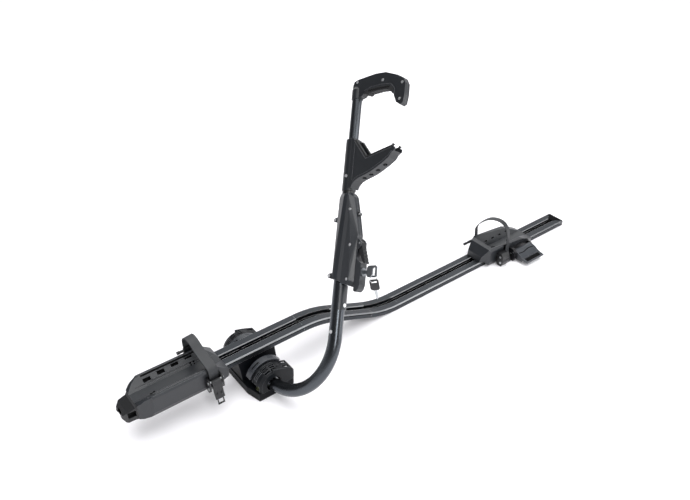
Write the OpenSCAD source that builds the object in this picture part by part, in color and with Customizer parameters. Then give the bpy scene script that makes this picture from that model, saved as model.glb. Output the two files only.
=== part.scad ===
// Roof bike carrier: an S-dropped wheel rail on a crossbar foot, a folding J-shaped arm
// with a sliding frame hook, and two wheel trays with strap buckles.
// Millimetres. X runs rearward along the rail, Y away from the arm's side, Z up.
// The origin is on the crossbar seat, straight under the arm's pivot.

/* [Rail] */
// Overall width of the wheel rail
rail_w = 57; // [54:1:60]
// Height of the rail section
rail_h = 17; // [15:1:19]
// Mouth of the slot along the rail's top
slot_w = 17; // [15:1:19]
// Wall of the rail extrusion
rail_t = 2; // [1.6:0.2:2.6]
// Height lost through the double bend
rail_drop = 84; // [80:1:88]
// Centre radius of each bend
bend_r = 260; // [240:5:280]
// Turn of each bend in degrees
bend_a = 22; // [20:1:24]
// Start of the first bend, behind the pivot
bend_x = 130; // [120:2:140]
// Rail's length in front of the pivot
rail_front = 297; // [292:1:299]
// Rail's length behind the pivot
rail_rear = 1130; // [1100:2:1150]

/* [Foot] */
// Height of the pivot axis over the crossbar
pivot_z = 36; // [35:0.5:38]
// Half width of the foot across the rail
foot_y = 86; // [84:0.5:90]
// Foot's reach to the front of the pivot
foot_x0 = 50; // [48:1:54]
// Foot's reach to the rear of the pivot
foot_x1 = 58; // [55:1:60]
// Height of the foot's base block
foot_h = 22; // [20:0.5:23]
// Thickness of the rubber seat pad
pad_t = 3; // [2:0.5:4]
// Half width of the pillar under the rail
pillar_y = 26; // [24:0.5:27]
// Outer radius of the bearing boss
boss_r = 20; // [19:0.5:22]
// Outer radius of the pivot hoods
hood_r = 42; // [40:0.5:43]
// Wall of the pivot hoods
hood_t = 3; // [2.5:0.5:4]

/* [Arm] */
// Backward lean of the arm in degrees
arm_lean = 32.8; // [30:0.1:36]
// Radius of the lower tube
tube_r = 15; // [14:0.25:15.5]
// Wall of both tubes
tube_t = 2.2; // [1.8:0.2:2.8]
// Radius of the sliding upper tube
slim_r = 11.5; // [11:0.25:11.75]
// Centre radius of the tube's bend
arm_r = 130; // [125:1:140]
// Turn of the tube's bend in degrees
arm_b = 118.2; // [116:0.2:120]
// Start of the tube's bend, beside the rail's centre
arm_y = 74; // [72:0.5:76]
// Length of the lower tube after the bend
low_len = 205; // [195:1:210]

/* [Clamp] */
// Half thickness of the clutch housing
case_t = 17.5; // [17.5:0.25:19]
// Half thickness of the lower jaw
jaw_t = 13.5; // [12.5:0.5:14.5]
// Outer radius of the jaw's sleeve
sleeve_r = 15.8; // [15.4:0.1:16.4]
// Half thickness of the hook
hook_t = 8; // [7:0.5:9]
// Outer radius of the hook's stem
stem_r = 13.2; // [12.8:0.1:14]
// Thickness of the rubber on the jaw
lip_t = 3; // [2:0.5:4]

/* [Trays] */
// Half width of both trays
tray_y = 43; // [41:0.5:45]
// Rise of the front tray's walls over the rail
tray_up = 23; // [20:1:26]
// Skirt of the front tray below the rail
skirt = 16; // [14:1:18]
// Reach of the front tray past the rail's front end
tray_over = 3; // [1:0.5:5]
// Front tray's end in front of the pivot
tray_x1 = 88; // [86:1:92]
// Rear tray's start behind the pivot
rear_x0 = 752; // [745:1:760]
// Length of the rear tray
rear_len = 222; // [218:1:230]
// Width of the front strap
strap_w = 24; // [20:1:26]
// Width of the rear strap
rstrap_w = 17; // [15:1:20]
// Thickness of both straps
strap_t = 2.4; // [2:0.2:3]

/* [Fits] */
// Radial clearance of a running fit
run = 0.06; // [0.03:0.01:0.1]
// Clearance of pieces that slide on each other
slip = 0.3; // [0.2:0.05:0.5]
// Extra skin of a bend over the straight length it runs into
seam = 0.12; // [0.1:0.01:0.15]

/* [Hidden] */
tray_x0 = rail_front + tray_over;
$fn = 64;
front_z = rail_drop;
top_z = rail_drop + rail_h;
arc_dx = bend_r * sin(bend_a);
arc_dz = bend_r * (1 - cos(bend_a));
mid_len = (rail_drop - 2 * arc_dz) / sin(bend_a);
bend_x1 = bend_x + 2 * arc_dx + mid_len * cos(bend_a);
slot_in = slot_w + 6;
floor_z = 3.5;
cell_y0 = slot_in / 2 + rail_t;
cell_y1 = rail_w / 2 - rail_t;
arm_in = pillar_y + 6;
boss_y = arm_y - 2;
lever_y0 = rail_w / 2 + 11;
lever_y1 = lever_y0 + 17;
lever_mid = (lever_y0 + lever_y1) / 2;
hood_y0 = lever_y1 + 1.5;
hood_y1 = foot_y + 2;
bolt_x = -28;
bolt_y = 68;
arm_e = arm_b - 90;
upper_s0 = 150;
case_s0 = 108;
case_s1 = 316;
neck_s1 = 322;
jaw_s1 = 441;
lip_s = jaw_s1 - (jaw_s1 - 391) / 7 + 0.04;
rlever_w = 74;
hook_s0 = 534;
hook_s1 = 556;
lever_s = 203;
lever_e = 54.5;
lock_s = 141;
lock_e = 64;
bow_e = 93;
bow_s = 137.8;
tray_z1 = top_z + tray_up;
tray_z0 = front_z - skirt;
strap_x = -128;
strap_skew = 6;
peg_x = strap_x - 2 * tray_y * sin(strap_skew);
buckle_y = tray_y + 0.2;
rear_x1 = rear_x0 + rear_len;
rear_strap_x = rear_x0 + 92;
rear_skew = 16;
rear_leg_y = tray_y + 4.6;
rear_peg_x = rear_strap_x - 2 * rear_leg_y * sin(rear_skew);
pin_y = tray_y + 11;
pin_z = 98;
rpin_y = tray_y + 12;
rpin_z = 23;

// Frames

// A profile drawn in (Y, Z) runs along X
module along_x(x0, x1) {
    translate([x0, 0, 0]) rotate([90, 0, 90]) linear_extrude(x1 - x0) children();
}

// A profile drawn in (X, Z) runs along Y
module along_y(y0, y1) {
    translate([0, y1, 0]) rotate([90, 0, 0]) linear_extrude(y1 - y0) children();
}

module rod_x(r, x0, x1) {
    translate([x0, 0, 0]) rotate([0, 90, 0]) cylinder(r = r, h = x1 - x0);
}

module rod_y(r, y0, y1) {
    translate([0, y1, 0]) rotate([90, 0, 0]) cylinder(r = r, h = y1 - y0);
}

module at_pivot() {
    translate([0, 0, pivot_z]) children();
}

module at_lean() {
    at_pivot() rotate([0, arm_lean, 0]) children();
}

// The straight arm: X across the clamp, -Y out along the jaws, Z up the tube
module at_arm() {
    at_lean() translate([0, -arm_y - arm_r * sin(arm_b), arm_r * (1 - cos(arm_b))])
        rotate([-arm_e, 0, 0]) children();
}

// Upright again, at a point of the arm given as reach and station
module upright(e, s) {
    at_arm() translate([0, -e, s]) rotate([arm_e, 0, 0]) rotate([0, -arm_lean, 0]) children();
}

// A plate in the arm's plane from points of (reach, station)
module arm_plate(pts, t0, t1) {
    translate([t0, 0, 0]) rotate([90, 0, 90]) linear_extrude(t1 - t0)
        polygon([for (p = pts) [-p[0], p[1]]]);
}

module arm_rod(r, s0, s1) {
    translate([0, 0, s0]) cylinder(r = r, h = s1 - s0);
}

module arm_ring(r0, r1, s0, s1) {
    difference() {
        arm_rod(r1, s0, s1);
        arm_rod(r0, s0 - 1, s1 + 1);
    }
}

// A rod across the arm's plane
module cross_rod(e, s, r, t0, t1) {
    translate([t0, -e, s]) rotate([0, 90, 0]) cylinder(r = r, h = t1 - t0);
}

// A rod along the reach
module reach_rod(s, r, e0, e1) {
    translate([0, -e0, s]) rotate([90, 0, 0]) cylinder(r = r, h = e1 - e0);
}

// Rail

// The extrusion's section, its walls made thicker by g on every side
module rail_section(g) {
    w = rail_w / 2 + g;
    m = slot_w / 2 - g;
    n = slot_in / 2 - g;
    h = rail_h + g;
    difference() {
        polygon([[-w + 1.5, -g], [w - 1.5, -g], [w, 1.5 - g], [w, h - 2.5], [w - 2.5, h], [m, h],
            [m, rail_h - 3 - g], [n, rail_h - 3 - g], [n, floor_z + g], [-n, floor_z + g],
            [-n, rail_h - 3 - g], [-m, rail_h - 3 - g], [-m, h], [-w + 2.5, h], [-w, h - 2.5],
            [-w, 1.5 - g]]);
        for (s = [-1, 1])
            polygon([[s * (cell_y0 + g), rail_t + g], [s * (cell_y1 - g), rail_t + g],
                [s * (cell_y1 - g), rail_h - rail_t - 1 - g], [s * (cell_y1 - 1 - g), rail_h - rail_t - g],
                [s * (cell_y0 + g), rail_h - rail_t - g]]);
    }
}

// The bends overlap the straight lengths a little, so that the rail is one piece
module rail_path() {
    translate([0, 0, front_z]) along_x(-rail_front, bend_x) rail_section(0);
    translate([bend_x, 0, front_z + rail_h / 2 - bend_r]) rotate([90, 0, 0])
        rotate([0, 0, 90 - bend_a - 0.2]) rotate_extrude(angle = bend_a + 0.4)
            translate([bend_r, 0]) rotate(-90) translate([0, -rail_h / 2]) rail_section(seam);
    translate([bend_x + arc_dx, 0, front_z + rail_h / 2 - arc_dz]) rotate([0, bend_a, 0])
        translate([0, 0, -rail_h / 2]) along_x(0, mid_len) rail_section(0);
    translate([bend_x1, 0, rail_h / 2 + bend_r]) rotate([90, 0, 0])
        rotate([0, 0, 270 - bend_a - 0.2]) rotate_extrude(angle = bend_a + 0.4)
            translate([bend_r, 0]) rotate(90) translate([0, -rail_h / 2]) rail_section(seam);
    along_x(bend_x1, rail_rear) rail_section(0);
}

module wheel_rail() {
    color("#4a4d51") difference() {
        rail_path();
        for (x = [-30, 30]) translate([x, 0, front_z - 1]) cylinder(r = 4.1, h = floor_z + 2);
    }
}

module rail_end_cap() {
    color("#17181a") {
        along_x(rail_rear, rail_rear + 6)
            polygon([[-rail_w / 2 + 1.5, 0], [rail_w / 2 - 1.5, 0], [rail_w / 2, 1.5],
                [rail_w / 2, rail_h - 2.5], [rail_w / 2 - 2.5, rail_h], [-rail_w / 2 + 2.5, rail_h],
                [-rail_w / 2, rail_h - 2.5], [-rail_w / 2, 1.5]]);
        for (s = [-1, 1])
            along_x(rail_rear - 14, rail_rear + 1) translate([s * (cell_y0 + cell_y1) / 2, rail_h / 2])
                square([cell_y1 - cell_y0 - 1.2, rail_h - 2 * rail_t - 1.2], center = true);
    }
}

// Foot

module foot_plan() {
    polygon([[-foot_x0, -46], [-foot_x0 + 10, -foot_y], [foot_x1 - 5, -foot_y], [foot_x1, -foot_y + 5],
        [foot_x1, foot_y - 5], [foot_x1 - 5, foot_y], [-foot_x0 + 10, foot_y], [-foot_x0, 46]]);
}

module base_foot() {
    color("#2b2d30") difference() {
        union() {
            translate([0, 0, pad_t]) linear_extrude(foot_h - pad_t) foot_plan();
            along_y(-pillar_y, pillar_y)
                polygon([[-foot_x0 + 2, foot_h - 1], [foot_x1 - 8, foot_h - 1], [foot_x1 - 12, 58],
                    [foot_x1 - 14, front_z], [-foot_x0 - 6, front_z], [-foot_x0 - 2, 60]]);
            at_pivot() rod_y(boss_r, -boss_y, boss_y);
            for (s = [-1, 1]) at_pivot() intersection() {
                rod_y(boss_r + 13, s > 0 ? lever_y0 + 7 : -lever_y1, s > 0 ? lever_y1 : -lever_y0 - 7);
                translate([-60, -100, foot_h - pivot_z - 1]) cube([120, 200, 80]);
            }
        }
        at_pivot() rod_y(tube_r + run, -boss_y - 1, -pillar_y - 4);
        at_pivot() rod_y(tube_r + run, pillar_y + 4, boss_y + 1);
        at_pivot() rod_y(tube_r + 2, -foot_y - 1, -boss_y);
        at_pivot() rod_y(boss_r - 1, boss_y, foot_y + 1);
        for (x = [-30, 30]) translate([x, 0, foot_h + 20]) cylinder(r = 4.05, h = front_z);
        for (s = [-1, 1]) at_pivot() difference() {
            rod_y(boss_r + 7.6, s > 0 ? lever_y0 - 0.6 : -lever_y0 - 6.6,
                s > 0 ? lever_y0 + 6.6 : -lever_y0 + 0.6);
            rod_y(boss_r, -99, 99);
        }
        for (s = [-1, 1]) translate([bolt_x, s * bolt_y, -1]) cylinder(r = 4.1, h = foot_h + 2);
        for (s = [-1, 1]) for (k = [0, 1]) at_pivot() intersection() {
            rod_y(boss_r + 14, s > 0 ? lever_y0 + 11 + 6 * k : -lever_y0 - 13 - 6 * k,
                s > 0 ? lever_y0 + 13 + 6 * k : -lever_y0 - 11 - 6 * k);
            difference() {
                translate([-60, -100, 0]) cube([120, 200, 80]);
                rod_y(boss_r + 11, -99, 99);
            }
        }
    }
}

module foot_pad() {
    color("#141516") difference() {
        linear_extrude(pad_t) foot_plan();
        for (s = [-1, 1]) translate([bolt_x, s * bolt_y, -1]) cylinder(r = 4.1, h = pad_t + 2);
        for (k = [-3:2]) translate([-foot_x0 - 1, 21.5 * (k + 0.5) - 1, -1])
            cube([foot_x0 + foot_x1 + 2, 2, 2]);
    }
}

// One hood at the -Y side: a ribbed barrel with a squared rear shoulder
module hood_form(g) {
    intersection() {
        union() {
            at_pivot() rotate([90, 0, 0]) rotate_extrude()
                polygon([[0, hood_y0 - 1], [hood_r - g, hood_y0 - 1], [hood_r - g, hood_y1 - 12 - g],
                    [hood_r - 3 - g, hood_y1 - 5 - g], [hood_r - 9 - g, hood_y1 - g], [0, hood_y1 - g]]);
            intersection() {
                along_y(-hood_y1 + g, -hood_y0 + 1)
                    polygon([[0, 2], [foot_x1 - g, 2], [foot_x1 - g, pivot_z + 8],
                        [foot_x1 - 9 - g, pivot_z + 24 - g], [20, pivot_z + hood_r - 6 - g],
                        [0, pivot_z + hood_r - g]]);
                linear_extrude(120)
                    polygon([[0, -hood_y0 + 1], [0, -hood_y1 + g], [foot_x1 - 5 - g, -hood_y1 + g],
                        [foot_x1 - g, -hood_y1 + 5 + g], [foot_x1 - g, -hood_y0 + 1]]);
            }
        }
        translate([-70, -hood_y1 - 1, foot_h]) cube([140, hood_y1 - hood_y0 + 1, 90]);
    }
}

module hood() {
    difference() {
        union() {
            hood_form(0);
            intersection() {
                at_pivot() rod_y(hood_r + 1.4, -hood_y0 - 5, -hood_y0 - 2);
                translate([-70, -120, foot_h]) cube([82, 120, 90]);
            }
        }
        intersection() {
            hood_form(hood_t);
            translate([-70, -hood_y1 + 2.5, foot_h - 1]) cube([140, 200, 90]);
        }
        translate([-70, -hood_y0 - 0.01, foot_h - 1]) cube([140, 20, 90]);
        at_pivot() rod_y(tube_r + 4.5, -hood_y1 - 5, -hood_y0);
        for (a = [84, 109]) for (k = [0:2])
            at_pivot() rotate([0, -a, 0]) translate([hood_r - 10, -hood_y1 + 4 + 6.2 * k, -7])
                cube([16, 4.2, 14]);
        translate([-70, -bolt_y - 15, foot_h - 1]) cube([54, 28, 23]);
        translate([27, -hood_y0 - 8.5, pivot_z + 8]) cube([20, 6.5, 60]);
        translate([29, -hood_y1 + 5, pivot_z + 8]) cube([17, 6, 60]);
    }
}

module near_hood() {
    color("#3b3e41") hood();
}

module far_hood() {
    color("#3b3e41") mirror([0, 1, 0]) hood();
}

module foot_bolts() {
    color("#b8bbbf") for (x = [-30, 30]) translate([x, 0, 0]) {
        translate([0, 0, front_z + floor_z]) cylinder(r = 7.2, h = 5);
        translate([0, 0, front_z - 30]) cylinder(r = 4, h = 30 + floor_z + 1);
    }
}

module crossbar_nuts() {
    color("#8e9295") for (s = [-1, 1]) translate([bolt_x, s * bolt_y, 0]) difference() {
        union() {
            translate([0, 0, foot_h]) cylinder(r = 9.5, h = 1.6);
            translate([0, 0, foot_h + 1.5]) rotate(15) cylinder(r = 7.6, h = 6.5, $fn = 6);
        }
        translate([0, 0, foot_h - 1]) cylinder(r = 4.1, h = 12);
    }
}

module socket_plug() {
    color("#1c1d1f") at_pivot() {
        rod_y(tube_r, boss_y - 16, boss_y + 0.5);
        rod_y(boss_r - 1.5, boss_y, boss_y + 3);
    }
}

// A clamp lever at the -Y side: a hub on the boss, a web and a handle over the hood
module clamp_lever() {
    at_pivot() difference() {
        union() {
            rod_y(boss_r + 7, -lever_y0 - 6, -lever_y0);
            intersection() {
                difference() {
                    rod_y(hood_r + 6, -lever_y1, -lever_y0);
                    rod_y(hood_r + 0.8, -lever_y1 - 1, -lever_y0 - 6);
                }
                along_y(-lever_y1 - 1, -lever_y0 + 1)
                    polygon([[0, 0], [70, 63], [70, 70], [-70, 70], [-70, 22]]);
            }
            rotate([0, -42, 0]) translate([hood_r + 0.8, -lever_mid, 0]) rotate([0, 90, 0])
                cylinder(r = lever_y1 - lever_mid, h = 5.4);
        }
        rod_y(boss_r + run, -lever_y1 - 1, -lever_y0 + 1);
        rotate([0, -122, 0]) translate([hood_r - 4, -lever_mid - 2.4, -12]) cube([14, 4.4, 24]);
        rotate([0, -72, 0]) translate([hood_r + 5, -lever_mid - 4, -16]) cube([4, 8, 24]);
    }
}

module near_clamp_lever() {
    color("#5c6063") clamp_lever();
}

module far_clamp_lever() {
    color("#5c6063") mirror([0, 1, 0]) clamp_lever();
}

// Front tray

module front_tray_section() {
    difference() {
        polygon([[-tray_y + 4, tray_z0], [tray_y - 4, tray_z0], [tray_y - 1, tray_z0 + 10],
            [tray_y, tray_z1 - 6], [tray_y - 2, tray_z1], [tray_y - 6, tray_z1], [14, top_z + 4],
            [-14, top_z + 4], [-tray_y + 6, tray_z1], [-tray_y + 2, tray_z1], [-tray_y, tray_z1 - 6],
            [-tray_y + 1, tray_z0 + 10]]);
        polygon([[-rail_w / 2 - slip, tray_z0 - 1], [rail_w / 2 + slip, tray_z0 - 1],
            [rail_w / 2 + slip, top_z], [-rail_w / 2 - slip, top_z]]);
    }
}

// The hollow between the tray's skirt and the rail's seat
module front_tray_hollow() {
    for (s = [-1, 1])
        polygon([[s * (rail_w / 2 + 3.5), tray_z0 - 1], [s * (tray_y - 7), tray_z0 - 1],
            [s * (tray_y - 4), tray_z0 + 12], [s * (tray_y - 4), tray_z1 - 12],
            [s * (rail_w / 2 + 3.5), top_z - 1]]);
}

// A pocket cut into the sloping inner wall of a tray
module wall_pocket(x, len, up, wide, s) {
    a = atan2(tray_up - 4, tray_y - 20);
    translate([x, s * (14 + up * cos(a)), top_z + 4 + up * sin(a)]) rotate([s * a, 0, 0])
        cube([len, wide, 15], center = true);
}

// A fine line along that wall
module wall_groove(x, len, up, wide, s) {
    a = atan2(tray_up - 4, tray_y - 20);
    translate([x, s * (14 + up * cos(a)), top_z + 4 + up * sin(a)]) rotate([s * a, 0, 0])
        cube([len, wide, 3], center = true);
}

module front_wheel_tray() {
    color("#404346") difference() {
        intersection() {
            along_x(-tray_x0, -tray_x1) front_tray_section();
            linear_extrude(200)
                polygon([[-tray_x0, -30], [-tray_x0 + 8, -35], [-tray_x0 + 26, -40], [-tray_x0 + 62, -60],
                    [-tray_x1, -60], [-tray_x1, 60], [-tray_x0 + 62, 60], [-tray_x0 + 26, 40],
                    [-tray_x0 + 8, 35], [-tray_x0, 30]]);
            along_y(-60, 60)
                polygon([[-tray_x0, tray_z0 - 1], [-tray_x0, top_z + 6], [-tray_x0 + 14, top_z + 16],
                    [-tray_x0 + 34, tray_z1 + 1], [-tray_x1 - 30, tray_z1 + 1], [-tray_x1, top_z + 1.5],
                    [-tray_x1, front_z - 4], [-tray_x1 - 22, tray_z0 - 1]]);
        }
        along_x(-tray_x0 + 66, -tray_x1 - 30) front_tray_hollow();
        for (k = [0:3]) for (s = [-1, 1]) wall_pocket(-252 + 34 * k, 18, 14 + 2.6 * k, 9, s);
        for (k = [0, 1]) wall_pocket(-151 + 8 * k, 4.5, 4, 9, 1);
        for (s = [-1, 1]) for (u = [6, 27]) wall_groove(-203, 158, u, 1.6, s);
        translate([-263, -16, top_z + 1]) cube([12, 7, 10]);
        translate([-254, -19, top_z + 1]) cube([4, 12, 10]);
        for (s = [-1, 1]) translate([-tray_x0 + 40, s * tray_y - 1, tray_z0 + 9]) cube([108, 2, 1.4]);
    }
}

module front_tray_nose() {
    color("#1f2022") difference() {
        intersection() {
            along_y(-28, 28)
                polygon([[-tray_x0, tray_z0], [-tray_x0, top_z + 3.4], [-tray_x0 - 4, top_z - 1.5],
                    [-tray_x0 - 22, top_z - 6], [-tray_x0 - 31, top_z - 14], [-tray_x0 - 33, front_z - 4],
                    [-tray_x0 - 26, tray_z0]]);
            linear_extrude(200)
                polygon([[-tray_x0, -28], [-tray_x0, 28], [-tray_x0 - 5, 26], [-tray_x0 - 22, 25],
                    [-tray_x0 - 36, 13], [-tray_x0 - 36, -13], [-tray_x0 - 22, -25], [-tray_x0 - 5, -26]]);
        }
        for (s = [-1, 1]) translate([-tray_x0 - 13, s * 26, front_z + 3]) cube([15, 16, 16], center = true);
        translate([-tray_x0 - 34, -9, front_z - 8]) cube([8, 18, 14], center = false);
    }
}

// A band along a path drawn in (Y, Z), from its centre line
function side(p, q) = let (d = q - p) [-d[1], d[0]] / norm(d);
function band(c, t) = let (n = len(c)) concat(
    [for (i = [0:n - 1]) c[i] + t / 2 * side(c[max(i - 1, 0)], c[min(i + 1, n - 1)])],
    [for (i = [n - 1:-1:0]) c[i] - t / 2 * side(c[max(i - 1, 0)], c[min(i + 1, n - 1)])]);
// A smooth line through control points, as quadratic pieces between their midpoints
function smooth(c, m) = let (n = len(c)) concat([c[0]],
    [for (i = [1:n - 2]) for (k = [0:m - 1])
        let (a = i == 1 ? c[0] : (c[i - 1] + c[i]) / 2, b = i == n - 2 ? c[n - 1] : (c[i] + c[i + 1]) / 2,
            u = (k + 1) / m)
        a * (1 - u) * (1 - u) + c[i] * 2 * u * (1 - u) + b * u * u]);

front_run = smooth([[tray_y + 7.45 + strap_t / 2, top_z + 7], [tray_y + 7.45 + strap_t / 2, top_z + 28],
    [tray_y + 11, tray_z1 + 30], [tray_y - 1, tray_z1 + 43], [tray_y - 20, tray_z1 + 41], [3, tray_z1 + 25],
    [-tray_y + 16, tray_z1 + 11],
    [-tray_y - 1, tray_z1 + 4.5], [-tray_y - 5, tray_z1 - 6], [-tray_y - 4.6, front_z],
    [-tray_y - 4.6, front_z - 12]], 6);

module front_strap() {
    color("#26282a") translate([strap_x, -tray_y, 0]) rotate([0, 0, strap_skew]) translate([0, tray_y, 0])
        along_x(-strap_w / 2, strap_w / 2) polygon(band(front_run, strap_t));
}

module front_strap_peg() {
    color("#1b1c1e") {
        translate([peg_x - strap_w / 2 - 3, tray_y, top_z + 3]) cube([strap_w + 4, 5.6, 28]);
        translate([peg_x - strap_w / 2 - 20, tray_y + 1, top_z + 27]) rod_x(3.2, 0, 18);
        translate([peg_x - strap_w / 2 - 20, tray_y + 1, top_z + 27]) rod_x(4, 0, 7);
    }
}

// Front buckle: cheeks on the near wall, two pins, a lever that hangs over the strap

module front_buckle_frame() {
    color("#1d1f21") difference() {
        union() {
            translate([strap_x - strap_w / 2 - 6, -buckle_y - 1.8, pin_z - 30])
                cube([strap_w + 12, 1.8, 38]);
            for (x = [strap_x - strap_w / 2 - 6, strap_x + strap_w / 2 + 2.4]) translate([x, 0, 0])
                along_x(0, 3.6)
                    polygon([[-buckle_y, pin_z + 8], [-pin_y - 2, pin_z + 8], [-pin_y - 6, pin_z + 3],
                        [-pin_y - 6, pin_z - 22], [-pin_y + 2, pin_z - 30], [-buckle_y, pin_z - 30]]);
        }
        translate([strap_x - 40, -pin_y, pin_z]) rod_x(2.5, 0, 80);
        translate([strap_x - 40, -pin_y, pin_z - 17]) rod_x(2.5, 0, 80);
    }
}

module front_buckle_pins() {
    color("#c9ccd0") for (z = [pin_z, pin_z - 17]) translate([strap_x, -pin_y, z]) {
        rod_x(2.45, -strap_w / 2 - 7, strap_w / 2 + 7);
        rod_x(3.4, -strap_w / 2 - 7.4, -strap_w / 2 - 6);
        rod_x(3.4, strap_w / 2 + 6, strap_w / 2 + 7.4);
    }
}

module front_buckle_lever() {
    color("#303235") difference() {
        union() {
            along_x(strap_x - strap_w / 2 + 1, strap_x + strap_w / 2 - 1)
                polygon([[-pin_y, pin_z + 3.8], [-pin_y - 6, pin_z + 3], [-pin_y - 9, pin_z - 8],
                    [-pin_y - 11, pin_z - 26], [-pin_y - 16, pin_z - 42], [-pin_y - 13, pin_z - 43],
                    [-pin_y - 6.5, pin_z - 27], [-pin_y - 4.5, pin_z - 10],
                    [-pin_y, pin_z - 3.8]]);
            translate([strap_x, -pin_y, pin_z]) rod_x(3.5, -strap_w / 2 + 1, strap_w / 2 - 1);
            difference() {
                translate([strap_x - strap_w / 2 + 4, -pin_y - 18.4, pin_z - 57]) rotate([-14, 0, 0])
                    cube([strap_w - 8, 2.4, 18]);
                translate([strap_x - strap_w / 2 + 6.4, -pin_y - 24, pin_z - 54.4])
                    cube([strap_w - 12.8, 14, 10.6]);
            }
        }
        translate([strap_x - 40, -pin_y, pin_z]) rod_x(2.45 + run, 0, 80);
        for (x = [-1, 1]) translate([strap_x + x * 5 - 1, -pin_y - 13, pin_z - 36]) cube([2, 3, 28]);
    }
}

// Rear tray

module rear_tray_side() {
    polygon([[rear_x0, rail_h + slip], [rear_x0 + 4, rail_h + 18], [rear_x0 + 22, rail_h + 42],
        [rear_x0 + 36, rail_h + 45], [rear_x0 + 90, rail_h + 37], [rear_x0 + 165, rail_h + 28],
        [rear_x0 + 200, rail_h + 14], [rear_x1, rail_h + 4], [rear_x1, 4], [rear_x0 + 26, 4],
        [rear_x0 + 14, rail_h + slip]]);
}

module rear_wheel_tray() {
    color("#404346") difference() {
        intersection() {
            along_y(-60, 60) rear_tray_side();
            linear_extrude(100)
                polygon([[rear_x0, -26], [rear_x0 + 26, -tray_y], [rear_x1 - 30, -tray_y],
                    [rear_x1 - 4, -tray_y + 6], [rear_x1, -34], [rear_x1, 34], [rear_x1 - 4, tray_y - 6],
                    [rear_x1 - 30, tray_y], [rear_x0 + 50, tray_y], [rear_x0, 23]]);
            along_x(rear_x0 - 1, rear_x1 + 1)
                polygon([[-tray_y + 3, 0], [tray_y - 3, 0], [tray_y, 16], [tray_y, rail_h + 34],
                    [tray_y - 5, rail_h + 50], [-tray_y + 5, rail_h + 50], [-tray_y, rail_h + 34],
                    [-tray_y, 16]]);
        }
        along_x(rear_x0 - 1, rear_x1 + 1)
            polygon([[-rail_w / 2 - slip, -1], [rail_w / 2 + slip, -1], [rail_w / 2 + slip, rail_h + slip],
                [-rail_w / 2 - slip, rail_h + slip]]);
        intersection() {
            along_x(rear_x0 + 34, rear_x1 + 1)
                polygon([[-15, rail_h + 4], [15, rail_h + 4], [tray_y - 6, rail_h + 40],
                    [tray_y - 6, rail_h + 60], [-tray_y + 6, rail_h + 60], [-tray_y + 6, rail_h + 40]]);
            along_y(-60, 60)
                polygon([[rear_x0 + 34, rail_h + 60], [rear_x0 + 34, rail_h + 40],
                    [rear_x0 + 58, rail_h + 10], [rear_x0 + 72, rail_h + 3], [rear_x1 + 2, rail_h + 3], [rear_x1 + 2, rail_h + 60]]);
        }
        for (s = [-1, 1]) for (k = [0:3]) translate([rear_x0 + 78 + 30 * k, s * 25, rail_h + 17])
            rotate([s * 57, 0, 0]) cube([11, 5, 8], center = true);
        for (x = [rear_x0 + 92, rear_x0 + 150]) translate([x, 0, rail_h + 1]) cylinder(r = 4.5, h = 8);
        translate([rear_x0 + 60, -6, rail_h - 1]) cube([30, 12, 9]);
        for (k = [0:12]) translate([rear_x0 + 118 + 6.5 * k, -tray_y - 1, 10]) cube([2, 2.2, 60]);
    }
}

module rear_tray_slider() {
    color("#191a1c") {
        along_x(rear_x0 + 96, rear_x0 + 146)
            polygon([[-slot_in / 2 + slip, floor_z + slip], [slot_in / 2 - slip, floor_z + slip],
                [slot_in / 2 - slip, rail_h - 3 - slip], [slot_w / 2 - slip, rail_h - 3 - slip],
                [slot_w / 2 - slip, rail_h + slip], [-slot_w / 2 + slip, rail_h + slip],
                [-slot_w / 2 + slip, rail_h - 3 - slip], [-slot_in / 2 + slip, rail_h - 3 - slip]]);
    }
}

// The loop over the wheel leans along the rail; the tail drops straight through the buckle
rear_loop = smooth([[tray_y + 10.9 + strap_t / 2, rail_h + 19], [tray_y + 10.9 + strap_t / 2, rail_h + 34],
    [tray_y + 16, 78], [tray_y - 4, 106], [12, 126], [-22, 127], [-41, 108], [-tray_y - 4, 80],
    [-rear_leg_y, 58], [-rear_leg_y, 36]], 6);
rear_tail = smooth([[-rear_leg_y, 46], [-rear_leg_y, 34], [-tray_y - 9, 20], [-tray_y - 19, 1.6]], 6);

module rear_strap() {
    color("#26282a") {
        translate([rear_strap_x, -rear_leg_y, 0]) rotate([0, 0, rear_skew]) translate([0, rear_leg_y, 0])
            along_x(-rstrap_w / 2, rstrap_w / 2) polygon(band(rear_loop, strap_t));
        along_x(rear_strap_x - rstrap_w / 2, rear_strap_x + rstrap_w / 2) polygon(band(rear_tail, strap_t));
    }
}

module rear_strap_peg() {
    color("#1b1c1e") {
        translate([rear_peg_x - rstrap_w / 2 - 3, tray_y, rail_h + 18]) cube([rstrap_w + 6, 4.4, 13]);
        translate([rear_peg_x - 57, tray_y + 4.2, rail_h + 22.5]) {
            rod_x(3.2, 0, 46);
            rod_x(4, 0, 11);
            translate([18, 0, 0]) rod_x(4.1, 0, 15);
        }
    }
}

// Rear buckle: a pinned block before the strap, a lever pinned between ears behind it

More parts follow.
